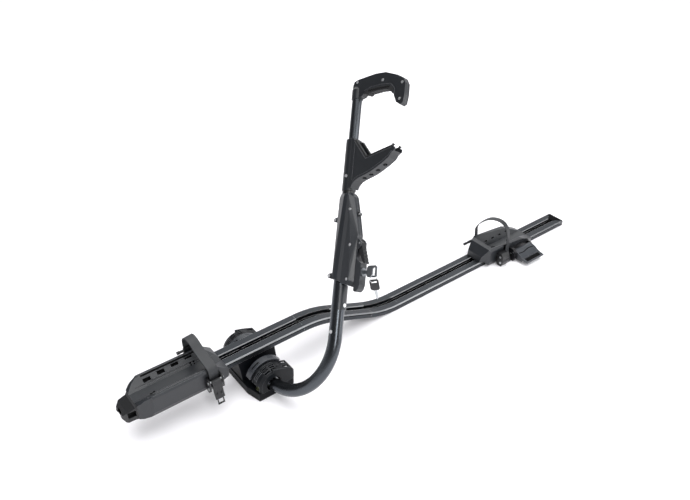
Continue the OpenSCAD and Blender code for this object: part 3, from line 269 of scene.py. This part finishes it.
FINISHES = {
    # Glass-filled nylon from a textured mould: charcoal, dry, its edges paler with wear and a painted
    # highlight
    "tray": moulded("charcoal_nylon_tray", "#1c1f23", "#7d8085", 0.37),
    "housing": moulded("charcoal_nylon_housing", "#1e2125", "#777a7f", 0.34),
    "hook": moulded("dark_nylon_hook", "#16191d", "#66696e", 0.36),
    "foot": moulded("dark_nylon_foot", "#06080c", "#50545a", 0.5, shine=0.12),
    "hood": moulded("dark_nylon_hood", "#090c10", "#8a8d92", 0.46, shine=0.22),
    # The same nylon in a paler grey for what the hand turns
    "lever": moulded("grey_nylon_lever", "#303338", "#8c8f94", 0.4),
    # Unfilled black nylon: smoother and a little glossier
    "black": moulded("black_nylon", "#0b0c0f", "#54575c", 0.36, grain=1.4, depth=0.015, edge=0.6),
    # Elastomer strap: matt with a faint bloom
    "strap": moulded("elastomer_strap", "#232528", "#505357", 0.52, grain=0.7, depth=0.02, edge=0.4, edge_wear_and_highlight_share=0.3),
    # Moulded rubber pads: matt, with soft corners
    "rubber": moulded("black_rubber", "#151618", "#35373a", 0.66, grain=0.6, depth=0.04, edge=0.5, edge_wear_and_highlight_share=0.2),
    # Matt black for painted shade in pockets, grooves and gaps, and for the dark grips
    "black_and_shade": moulded("matt_black_and_painted_shade", "#050506", "#0c0d0f", 0.8, edge_wear_and_highlight_share=0.2, shine=0.1),
    "tube": anodised_tube(),
    "rail": anodised_rail(),
    # Zinc-plated pins, ring and blade: pale grey and satin
    "zinc": plated_steel("zinc_plated_steel", "#b9bcbe", 0.32, 3),
    # Yellow-passivated zinc on the crossbar nuts: dull olive
    "olive": plated_steel("yellow_passivated_zinc", "#8f9470", 0.36, 3),
    # Black-oxide bolts down in the slot: dark and dull
    "oxide": plated_steel("black_oxide_steel", "#26282b", 0.42, 3),
    # Nickel-plated rivets and screw heads: almost white
    "bright": plated_steel("bright_nickel_plate", "#f0f1f2", 0.34, 5),
    # Nickel-plated key blanks and the lock's die-cast face, dulled by handling
    "keys": plated_steel("dull_nickel_key", "#75787b", 0.38, 4),
}

WORN_BY = {
    "tray": ["front_wheel_tray", "rear_wheel_tray"],
    "housing": ["housing_front", "housing_rear", "lock_box", "arm_cover_strip"],
    "hook": ["hook_front", "hook_rear", "lower_jaw"],
    "foot": ["base_foot"],
    "hood": ["near_hood", "far_hood"],
    "lever": ["near_clamp_lever", "far_clamp_lever", "rear_buckle_lever"],
    "black": ["rail_end_cap", "socket_plug", "front_tray_nose", "front_strap_peg", "front_buckle_frame",
              "front_buckle_lever", "rear_tray_slider", "rear_strap_peg", "rear_buckle_frame",
              "guide_bush", "release_lever", "spare_key", "neck_ring"],
    "rubber": ["foot_pad", "jaw_lips", "hook_pad"],
    "strap": ["front_strap", "rear_strap"],
    "tube": ["arm_tube", "upper_tube"],
    "rail": ["wheel_rail"],
    "zinc": ["front_buckle_pins", "rear_buckle_pins", "release_pin", "key_ring", "spare_blade"],
    "oxide": ["foot_bolts"],
    "keys": ["key", "lock_barrel", "lock_plug"],
    "olive": ["crossbar_nuts"],
    "bright": ["arm_rivets", "housing_screws", "hook_screws"],
}


# Making pieces

def dress_frame():
    """Each solid of the frame takes its finish."""
    for finish, names in WORN_BY.items():
        for name in names:
            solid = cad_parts[name]
            if not solid.material_slots:
                solid.data.materials.append(None)
            for place in solid.material_slots:
                place.material = FINISHES[finish]


def piece(name, mesh, finish, body):
    """A mesh made here, as a piece that rides on a body."""
    made = bpy.data.objects.new(name, mesh)
    bpy.context.scene.collection.objects.link(made)
    mesh.materials.append(FINISHES[finish])
    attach(made, body)
    return made


def loft(shape, rings):
    """Skin between rings of points, closed at both ends."""
    for a, b in zip(rings, rings[1:]):
        for k in range(len(a)):
            shape.faces.new((a[k], a[k - 1], b[k - 1], b[k]))
    shape.faces.new(rings[0])
    shape.faces.new(list(reversed(rings[-1])))


def finished(name, shape):
    """The shape as a mesh with its faces turned outwards."""
    bmesh.ops.recalc_face_normals(shape, faces=shape.faces)
    mesh = bpy.data.meshes.new(name)
    shape.to_mesh(mesh)
    shape.free()
    return mesh


def trim(name, shape, finish, body):
    """A shape made here, as a piece that rides on a body."""
    return piece(name, finished(name, shape), finish, body)


# Straps

def smooth_line(points, steps):
    """The same smooth line through control points as the solids follow."""
    last = len(points) - 1
    line = [Vector(points[0])]
    for i in range(1, last):
        a = Vector(points[0]) if i == 1 else (Vector(points[i - 1]) + Vector(points[i])) / 2
        b = Vector(points[last]) if i == last - 1 else (Vector(points[i]) + Vector(points[i + 1])) / 2
        for k in range(1, steps + 1):
            u = k / steps
            line.append(a * (1 - u) ** 2 + Vector(points[i]) * 2 * u * (1 - u) + b * u * u)
    return line


def even(line, pitch):
    """The line resampled at an even pitch."""
    out = [line[0]]
    left = pitch
    for p, q in zip(line, line[1:]):
        span = (q - p).length
        done = 0
        while span - done >= left:
            done += left
            out.append(p.lerp(q, done / span))
            left = pitch
        left -= span - done
    return out


def even_to_end(line, pitch):
    """A plain line resampled at an even pitch, with its last point kept."""
    points = [Vector(spot) for spot in line]
    return even(points, pitch) + [points[-1]]


def strap_mesh(name, line, width, teeth_from, place):
    """A strap with rounded edges and, past a share of its length, ratchet teeth across its outer face."""
    pitch = TOOTH_PITCH / 4
    half = width / 2
    flat, inner = half - STRAP_EDGE, half - STRAP_MARGIN
    toothed = inner - 0.4
    # Across the strap, and out of its middle in half thicknesses; the spots just past 1 carry the teeth
    section = ((-half, -0.5), (-flat, -1), (flat, -1), (half, -0.5), (half, 0.5), (flat, 1), (inner, 1),
               (toothed, 1.01), (-toothed, 1.01), (-inner, 1), (-flat, 1), (-half, 0.5))
    run = even(line, pitch)
    shape = bmesh.new()
    rings = []
    for i, point in enumerate(run):
        ahead = run[min(i + 1, len(run) - 1)] - run[max(i - 1, 0)]
        out = Vector((-ahead[1], ahead[0])).normalized()
        share = i / (len(run) - 1)
        phase = (i * pitch % TOOTH_PITCH) / TOOTH_PITCH
        rise = TOOTH_DEPTH * (1 - phase) if teeth_from < share < 0.985 else 0
        ring = []
        for across, lift in section:
            off = lift * STRAP_T / 2 + (rise if lift > 1 else 0)
            spot = point + out * off
            ring.append(shape.verts.new(place(Vector((across, spot[0], spot[1]))) * MM))
        rings.append(ring)
    loft(shape, rings)
    return finished(name, shape)


def make_straps():
    """The two wheel straps, each from its peg over the wheel's place and down to its buckle."""
    far_y = TRAY_Y + 7.45 + STRAP_T / 2
    near_y = -TRAY_Y - 4.6
    front = smooth_line([(far_y, TOP_Z + 7), (far_y, TOP_Z + 28), (TRAY_Y + 11, TRAY_Z1 + 30),
                         (TRAY_Y - 1, TRAY_Z1 + 43), (TRAY_Y - 20, TRAY_Z1 + 41), (3, TRAY_Z1 + 25),
                         (-TRAY_Y + 16, TRAY_Z1 + 11), (-TRAY_Y - 1, TRAY_Z1 + 4.5),
                         (-TRAY_Y - 5, TRAY_Z1 - 6), (near_y, FRONT_Z), (near_y, FRONT_Z - 12)], STRAP_STEPS)

    def on_front_tray(spot):
        """The whole loop is a little askew on the tray."""
        turn = Matrix.Rotation(math.radians(FRONT_STRAP_SKEW), 3, "Z")
        return Vector((FRONT_STRAP_X, -TRAY_Y, 0)) + turn @ (spot + Vector((0, TRAY_Y, 0)))

    mesh = strap_mesh("front_strap_band", front, FRONT_STRAP_W, 0.44, on_front_tray)
    band = piece("front_strap_band", mesh, "strap", "carrier")
    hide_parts("front_strap")
    far_y = TRAY_Y + 10.9 + STRAP_T / 2
    rear = smooth_line([(far_y, RAIL_H + 19), (far_y, RAIL_H + 34), (TRAY_Y + 16, 78), (TRAY_Y - 4, 106),
                        (12, 126), (-22, 127), (-41, 108), (-TRAY_Y - 4, 80), (-REAR_LEG_Y, 58),
                        (-REAR_LEG_Y, 34), (-TRAY_Y - 9, 20), (-TRAY_Y - 19, 1.8)], STRAP_STEPS)

    def on_rear_tray(spot):
        """The loop leans along the rail; its near leg straightens before it drops through the buckle."""
        lean = 1.0
        if spot[1] < 0:
            lean = min(max((spot[2] - 40) / 26, 0), 1)
        turn = Matrix.Rotation(math.radians(REAR_STRAP_SKEW * lean), 3, "Z")
        return Vector((REAR_STRAP_X, -REAR_LEG_Y, 0)) + turn @ (spot + Vector((0, REAR_LEG_Y, 0)))

    mesh = strap_mesh("rear_strap_band", rear, REAR_STRAP_W, 0.5, on_rear_tray)
    band = piece("rear_strap_band", mesh, "strap", "rear_tray")
    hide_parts("rear_strap")


# Ribs and beads

def ridge(shape, line, width, height, lay):
    """A rounded ridge along a line drawn on a surface, run out to nothing at both ends; lay gives the place
    of a spot on that surface and so far out of it."""
    rings = []
    last = len(line) - 1
    for i, spot in enumerate(line):
        ahead = (Vector(line[min(i + 1, last)]) - Vector(line[max(i - 1, 0)])).normalized()
        rise = height * (0.05 if i in (0, last) else 1)
        ring = []
        for across, out in RIDGE_SECTION:
            shift = across * width
            u, v = spot[0] - ahead[1] * shift, spot[1] + ahead[0] * shift
            ring.append(shape.verts.new(lay(u, v, rise * out)))
        rings.append(ring)
    loft(shape, rings)


# Rail

def on_rail(run, height, out, side):
    """A spot on the rail's side: so far along it from its front end, above its bottom and out of its side."""
    x, middle, fall = -RAIL_FRONT, FRONT_Z + RAIL_H / 2, 0.0
    bend = math.radians(BEND_DEG)
    slope = (FRONT_Z - 2 * BEND_R * (1 - math.cos(bend))) / math.sin(bend)
    # The last stretch is longer than the rail, so every run ends on one
    stretches = ((RAIL_FRONT + BEND_X, 0), (BEND_R * bend, 1), (slope, 0), (BEND_R * bend, -1), (2000, 0))
    for length, turn in stretches:
        step = min(run, length)
        if turn:
            swing = turn * step / BEND_R
            x += turn * BEND_R * (math.sin(fall + swing) - math.sin(fall))
            middle += turn * BEND_R * (math.cos(fall + swing) - math.cos(fall))
            fall += swing
        else:
            x += step * math.cos(fall)
            middle -= step * math.sin(fall)
        run -= step
        if run <= 0:
            break
    rise = height - RAIL_H / 2
    return Vector((x + rise * math.sin(fall), side * (RAIL_HALF + out),
                   middle + rise * math.cos(fall))) * MM


def make_rail_trim():
    """Black strips of painted shade in the side grooves, and a dark plate of painted shade at the slot's
    mouth on the end cap.
    """
    # From the front tray's end to the end cap, at the groove's height on the side
    lines = bmesh.new()
    groove = [(216 + 6 * k, 12.6) for k in range(203)]
    for side in (-1, 1):
        ridge(lines, groove, 2.6, 0.2, partial(on_rail, side=side))
    trim("rail_side_shade_lines", lines, "black_and_shade", "carrier")
    mouth = bmesh.new()
    middle = 1120
    outline = ((1108, 8.4), (middle, 15), (1126, 24), (1135.5, 25.6), (1135.5, -25.6), (1128, -22),
               (1118, -12), (1108, -8.4))
    rings = []
    for height, shrink in ((RAIL_H - 0.1, 1), (RAIL_H + 0.25, 1), (RAIL_H + 0.35, 0.98)):
        rings.append([mouth.verts.new(Vector((middle + (x - middle) * shrink, y * shrink, height)) * MM)
                      for x, y in outline])
    loft(mouth, rings)
    trim("rail_end_mouth_shade", mouth, "black_and_shade", "carrier")


# Front tray

def on_wall(x, up, out, side):
    """A spot on the front tray's sloped inner wall: so far up it and so far out of it."""
    return Vector((x, side * (VALLEY_Y + up * math.cos(WALL_TILT) - out * math.sin(WALL_TILT)),
                   VALLEY_Z + up * math.sin(WALL_TILT) + out * math.cos(WALL_TILT))) * MM


def pocket_shade_cup(shape, x, length, up, width, side):
    """A thin black cup of painted shade that lines a drain pocket."""
    rings = []
    for inset, out in ((0.15, -6.9), (0.15, -0.7), (0.8, -0.6), (0.9, -6.2)):
        a, b = length / 2 - inset, width / 2 - inset
        rings.append([shape.verts.new(on_wall(x + u, up + v, out, side))
                      for u, v in ((-a, -b), (a, -b), (a, b), (-a, b))])
    loft(shape, rings)


def make_front_tray_trim():
    """Long ridges and a rim strip of painted shade on each inner wall, and dark cups of painted shade in the
    drain pockets.
    """
    ridges = bmesh.new()
    rim_shade = bmesh.new()
    shade_cups = bmesh.new()
    # Each ridge's place up the wall, its width and its height
    rows = ((3.2, 1.6, 1.1), (9.2, 1.5, 1.2), (22.6, 1.3, 0.9), (29.0, 1.6, 0.9))
    for side in (-1, 1):
        wall = partial(on_wall, side=side)
        for up, width, height in rows:
            ridge(ridges, [(-260 + 4 * k, up) for k in range(35)], width, height, wall)
        ridge(rim_shade, [(-262 + 4 * k, 26) for k in range(36)], 4.2, 0.5, wall)
        # A row of pockets that climbs towards the strap
        for k in range(4):
            pocket_shade_cup(shade_cups, -252 + 34 * k, 18, 14 + 2.6 * k, 9, side)
    # Two short ones low on the far wall
    for k in range(2):
        pocket_shade_cup(shade_cups, -151 + 8 * k, 4.5, 4, 9, 1)
    trim("front_tray_ridges", ridges, "tray", "carrier")
    trim("front_tray_rim_shade", rim_shade, "black_and_shade", "carrier")
    trim("front_tray_pocket_shade_cups", shade_cups, "black_and_shade", "carrier")


# Arm, hoods and rear lever

def on_arm(reach, station, out, side):
    """A spot on a plate of the arm, whose faces stand so far to each side of the arm's plane."""
    return ARM @ Vector((out * side, -reach, station)) * MM


def make_jaw_and_hook_beads():
    """Raised rims along the jaw's and the hook's edges, and the grip's zigzag."""
    jaw = bmesh.new()
    hook = bmesh.new()
    grip = bmesh.new()
    for side in (-1, 1):
        def on_jaw(reach, station, out):
            return on_arm(reach, station, JAW_HALF + out, side)

        def on_hook(reach, station, out):
            return on_arm(reach, station, HOOK_HALF + out, side)

        ridge(jaw, even_to_end([(16, 433), (53, 388.6), (123, 406)], 3), 2.2, 1.0, on_jaw)
        ridge(jaw, even_to_end([(124, 398.5), (115, 388.5), (101, 379), (85, 370), (69, 362), (52, 356),
                                (36, 351), (27, 347), (20, 340)], 3), 2.2, 1.0, on_jaw)
        ridge(jaw, even_to_end([(18.5, 344), (18.5, 428)], 4), 1.8, 0.9, on_jaw)
        ridge(hook, even_to_end([(27, 549), (45, 554.4), (72, 555.4), (101.4, 552.2), (112.2, 541.3),
                                 (114.6, 529)], 3), 1.6, 0.8, on_hook)
        ridge(grip, [(38 + 3.2 * k, 545.2 + 3.4 * (k % 2)) for k in range(20)], 2.0, 0.8, on_hook)
    trim("jaw_rims", jaw, "housing", "arm")
    trim("hook_rims", hook, "housing", "hook")
    trim("hook_grip_zigzag", grip, "black_and_shade", "hook")


def make_hood_ribs():
    """Ribs round the hoods' front shoulders, in a paler grey as a painted highlight, with dark strips of
    painted shade between them.
    """
    ribs = bmesh.new()
    gap_shade = bmesh.new()
    for side in (-1, 1):
        def on_hood(arc, off, out):
            turn, radius = arc / HOOD_R, HOOD_R + out
            return Vector((radius * math.cos(turn), side * off, PIVOT_Z + radius * math.sin(turn))) * MM

        pitch = 4.5
        for k in range(3):
            rib = [(HOOD_R * math.radians(122 + 2.5 * i), 65 + pitch * k) for i in range(15)]
            ridge(ribs, rib, 1.8, 1.5, on_hood)
            if k < 2:
                ridge(gap_shade, [(arc, off + pitch / 2) for arc, off in rib], 2.2, 0.35, on_hood)
    # The ribs take the paler lever grey as a painted highlight, and the strips between them are painted shade
    trim("hood_ribs", ribs, "lever", "carrier")
    trim("hood_rib_gap_shade", gap_shade, "black_and_shade", "carrier")


def on_rear_lever(along, run, out):
    """A spot on the rear lever's top: so far along the rail, down from its hinge and out of its face."""
    for a, b in zip(REAR_LEVER_TOP, REAR_LEVER_TOP[1:]):
        a, b = Vector(a), Vector(b)
        length = (b - a).length
        if run <= length:
            break
        run -= length
    down = (b - a) / length
    spot = a + down * run + Vector((down.y, -down.x)) * out
    return Vector((along, *spot)) * MM


def make_rear_lever_trim():
    """Rims round the rear lever's edges, a wavy dark strip of painted shade for a groove across its slope and
    a dark grip at its tip.
    """
    rims = bmesh.new()
    grip_and_groove_shade = bmesh.new()
    left, right = REAR_LEVER_X
    for x in (left + 1.6, right - 1.6):
        ridge(rims, [(x, 8 + 2.4 * k) for k in range(24)], 2.8, 1.6, on_rear_lever)
    # Across the tip, and where the slope ends
    for run, width in ((63, 2.2), (45, 2.0)):
        ridge(rims, [(left + 4 + 3 * k, run) for k in range(23)], width, 1.2, on_rear_lever)
    ridge(grip_and_groove_shade, [(left + 6 + 3 * k, 54) for k in range(21)], 13, 0.5, on_rear_lever)
    # The wavy groove is a raised black strip of painted shade
    wave = [(left + 5 + 3 * k, 24 + 2.2 * math.sin(k / 3.2)) for k in range(22)]
    ridge(grip_and_groove_shade, wave, 3.2, 0.4, on_rear_lever)
    trim("rear_lever_rims", rims, "lever", "rear_lever")
    trim("rear_lever_grip_and_groove_shade", grip_and_groove_shade, "black_and_shade", "rear_lever")


# Nose

def box_mesh(low, high):
    """A block between two corners, to cut with."""
    shape = bmesh.new()
    bmesh.ops.create_cube(shape, size=1)
    for vert in shape.verts:
        vert.co = Vector([(a + b) / 2 + c * (b - a) for a, b, c in zip(low, high, vert.co)]) * MM
    return finished("cut", shape)


def carved(node, name, cuts):
    """A copy of a solid's mesh with blocks cut out of it."""
    copy = bpy.data.objects.new(name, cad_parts[node].data.copy())
    bpy.context.scene.collection.objects.link(copy)
    tools = []
    for low, high in cuts:
        tool = bpy.data.objects.new("cut", box_mesh(low, high))
        bpy.context.scene.collection.objects.link(tool)
        step = copy.modifiers.new("cut", "BOOLEAN")
        step.operation = "DIFFERENCE"
        step.object = tool
        tools.append(tool)
    done = copy.evaluated_get(bpy.context.evaluated_depsgraph_get())
    mesh = bpy.data.meshes.new_from_object(done)
    for spent in tools + [copy]:
        bpy.data.objects.remove(spent)
    mesh.materials.clear()
    return mesh


def make_nose():
    """The nose with the deep side and front pockets that its thin walls frame."""
    # Opposite corners of each block: one in each side and one in the front
    cuts = [((-321.5, side * 27 - 12, 78.5), (-303.5, side * 27 + 12, 94.4)) for side in (-1, 1)]
    cuts.append(((-336, -8, 77), (-327, 8, 89)))
    mesh = carved("front_tray_nose", "front_nose_shell", cuts)
    nose = piece("front_nose_shell", mesh, "black", "carrier")
    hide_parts("front_tray_nose")
    # A seal closes the slit between the nose and the tray
    seal = bmesh.new()
    rings = []
    for x, grow in ((-301.2, -0.3), (-301, 0.2), (-299.6, 0.2), (-299.4, -0.3)):
        rings.append([seal.verts.new(Vector((x, y + math.copysign(grow, y), z)) * MM)
                      for y, z in ((-29.8, 69), (-29.8, 100), (-27.6, 100), (-27.6, 69))])
    loft(seal, rings)
    other = bmesh.ops.duplicate(seal, geom=seal.verts[:] + seal.edges[:] + seal.faces[:])
    for part in other["geom"]:
        if isinstance(part, bmesh.types.BMVert):
            part.co.y = -part.co.y
    trim("front_nose_seals", seal, "black", "carrier")


# Stage

def seen_directly(tree):
    """1 for what the camera, a reflection or glass shows, and 0 for the light it sheds."""
    path = add(tree, "ShaderNodeLightPath", {})
    seen = add(tree, "ShaderNodeMath", {0: path.outputs["Is Camera Ray"], 1: path.outputs["Is Glossy Ray"]},
               operation="MAXIMUM")
    seen = add(tree, "ShaderNodeMath", {0: seen.outputs[0], 1: path.outputs["Is Transmission Ray"]},
               operation="MAXIMUM")
    return seen.outputs[0]


def make_floor():
    """A pale floor that keeps the soft shadow and stays white elsewhere."""
    # Wide enough to pass the horizon of the low views, and just clear of the foot's pad
    size = 60
    drop = 0.4 * MM
    floor_mesh = bpy.data.meshes.new("floor")
    floor_mesh.from_pydata([(-size, -size, 0), (size, -size, 0), (size, size, 0), (-size, size, 0)], [],
                           [(0, 1, 2, 3)])
    floor = bpy.data.objects.new("floor", floor_mesh)
    floor.location.z = -drop
    bpy.context.scene.collection.objects.link(floor)
    material, tree, shader = start("pale_floor")
    shader.inputs["Base Color"].default_value = linear("#f4f3f6")
    shader.inputs["Roughness"].default_value = 0.9
    shader.inputs["Specular IOR Level"].default_value = 0.1
    shader.inputs["Emission Color"].default_value = (1, 1, 1, 1)
    lift = add(tree, "ShaderNodeMath", {0: seen_directly(tree), 1: 0.06}, operation="MULTIPLY")
    tree.links.new(lift.outputs[0], shader.inputs["Emission Strength"])
    floor_mesh.materials.append(material)


def lamp(name, kind, energy, location, target, **settings):
    """A lamp at a place, turned to a target."""
    made = bpy.data.lights.new(name, kind)
    made.energy = energy
    for key, value in settings.items():
        setattr(made, key, value)
    holder = bpy.data.objects.new(name, made)
    holder.location = location
    holder.rotation_euler = (Vector(target) - holder.location).to_track_quat("-Z", "Y").to_euler()
    bpy.context.scene.collection.objects.link(holder)


def make_light():
    """A soft key from above, a dim sky with a pale horizon, a softbox behind that the upper faces mirror,
    one at the right for the side faces and a narrow one in front for the tubes."""
    world = bpy.data.worlds.new("studio")
    bpy.context.scene.world = world
    world.use_nodes = True
    tree = world.node_tree
    backdrop = tree.nodes["Background"]
    way = add(tree, "ShaderNodeTexCoord", {}).outputs["Generated"]
    height = add(tree, "ShaderNodeSeparateXYZ", {0: way}).outputs["Z"]
    sky = add(tree, "ShaderNodeValToRGB", {0: height})
    stops = sky.color_ramp.elements
    for k, (place, grey) in enumerate(((0.04, 1.0), (0.3, 0.16), (0.75, 0.18), (1.0, 0.3))):
        stop = stops[0] if k == 0 else stops[-1] if place == 1 else stops.new(place)
        stop.position = place
        stop.color = (grey * 0.97, grey * 0.97, grey, 1)
    tree.links.new(sky.outputs["Color"], backdrop.inputs["Color"])
    lamp("key_sky", "SUN", 2.7, (0.05, 0.04, 1), (0, 0, 0), angle=math.radians(60))
    for name, watts, place, target, wide, tall in (
            ("back_softbox", 20, (1.4, 1.45, 1.3), (0.3, 0, 0.05), 2.6, 1.5),
            ("right_softbox", 18, (1.25, -1.15, 1.1), (0.2, 0, 0.3), 1.1, 1.8),
            ("front_softbox", 16, (-0.28, -1.42, 1.48), (0.15, -0.15, 0.38), 0.5, 1.3)):
        lamp(name, "AREA", watts, place, target, shape="RECTANGLE", size=wide, size_y=tall)


def make_camera():
    """The photograph's viewpoint, fitted to the rail, the tubes and the foot."""
    lens = bpy.data.cameras.new("camera")
    lens.sensor_fit = "HORIZONTAL"
    lens.sensor_width = 36
    lens.lens = 36.207
    lens.clip_start = 0.05
    camera = bpy.data.objects.new("camera", lens)
    elevation = math.radians(34.722)
    azimuth = math.radians(-37.487)
    back = Vector((math.sin(azimuth) * math.cos(elevation), -math.cos(azimuth) * math.cos(elevation),
                   math.sin(elevation)))
    camera.location = (-0.56895, -1.10014, 1.21022)
    camera.rotation_euler = back.to_track_quat("Z", "Y").to_euler()
    bpy.context.scene.collection.objects.link(camera)
    bpy.context.scene.camera = camera


dress_frame()
make_straps()
make_rail_trim()
make_front_tray_trim()
make_nose()
make_jaw_and_hook_beads()
make_hood_ribs()
make_rear_lever_trim()
make_floor()
make_light()
make_camera()
bpy.context.scene.view_settings.view_transform = "Standard"
